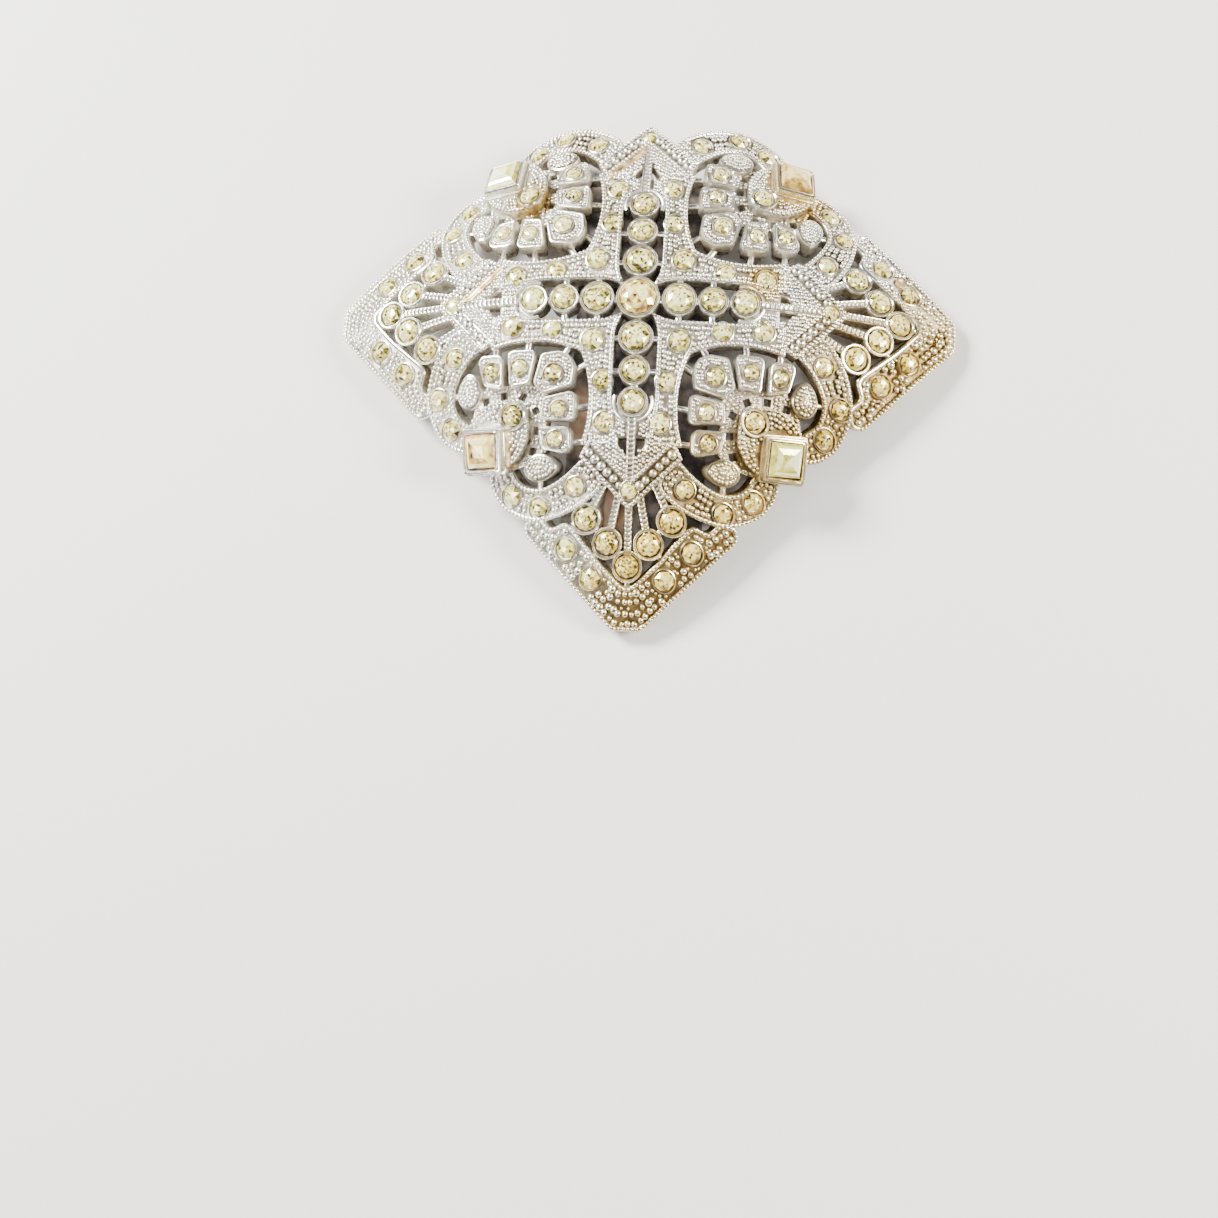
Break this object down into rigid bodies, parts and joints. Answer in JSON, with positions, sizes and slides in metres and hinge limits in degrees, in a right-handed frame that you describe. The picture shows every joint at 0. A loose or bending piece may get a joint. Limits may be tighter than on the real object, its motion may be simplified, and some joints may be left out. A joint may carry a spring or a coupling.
{
  "type": "dress clip",
  "caption": "Domed, pierced openwork dress clip with fan-shaped tips, raised stone settings and a forked spring clip behind.",
  "frame": {"origin": "centre of the bounding box's base, where the tips stand on the surface", "axes": "+Z out of the face of the clip, +Y to its upper end, which has no fan tip, +X to its right"},
  "size_m": [0.0586, 0.0492, 0.0098],
  "materials": {
    "cast_metal": "cast white metal, satin, tarnished golden in its hollows",
    "spring_metal": "satin, worn to a copper colour",
    "paste_stone": "polished facets over foil"
  },
  "bodies": {
    "root": {"back_clip": "spring_metal", "boss_stone_lower_left": "paste_stone", "boss_stone_lower_right": "paste_stone", "boss_stone_upper_left": "paste_stone", "boss_stone_upper_right": "paste_stone", "casting": "cast_metal", "centre_stone": "paste_stone", "cross_stone_bottom_1": "paste_stone", "cross_stone_bottom_2": "paste_stone", "cross_stone_bottom_3": "paste_stone", "cross_stone_left_1": "paste_stone", "cross_stone_left_2": "paste_stone", "cross_stone_left_3": "paste_stone", "cross_stone_right_1": "paste_stone", "cross_stone_right_2": "paste_stone", "cross_stone_right_3": "paste_stone", "cross_stone_top_1": "paste_stone", "cross_stone_top_2": "paste_stone", "cross_stone_top_3": "paste_stone", "fan_stone_bottom_1": "paste_stone", "fan_stone_bottom_2": "paste_stone", "fan_stone_bottom_3": "paste_stone", "fan_stone_bottom_4": "paste_stone", "fan_stone_bottom_5": "paste_stone", "fan_stone_left_1": "paste_stone", "fan_stone_left_2": "paste_stone", "fan_stone_left_3": "paste_stone", "fan_stone_left_4": "paste_stone", "fan_stone_left_5": "paste_stone", "fan_stone_right_1": "paste_stone", "fan_stone_right_2": "paste_stone", "fan_stone_right_3": "paste_stone", "fan_stone_right_4": "paste_stone", "fan_stone_right_5": "paste_stone", "square_stone_lower_left": "paste_stone", "square_stone_lower_right": "paste_stone", "square_stone_upper_left": "paste_stone", "square_stone_upper_right": "paste_stone"}
  },
  "joints": []
}
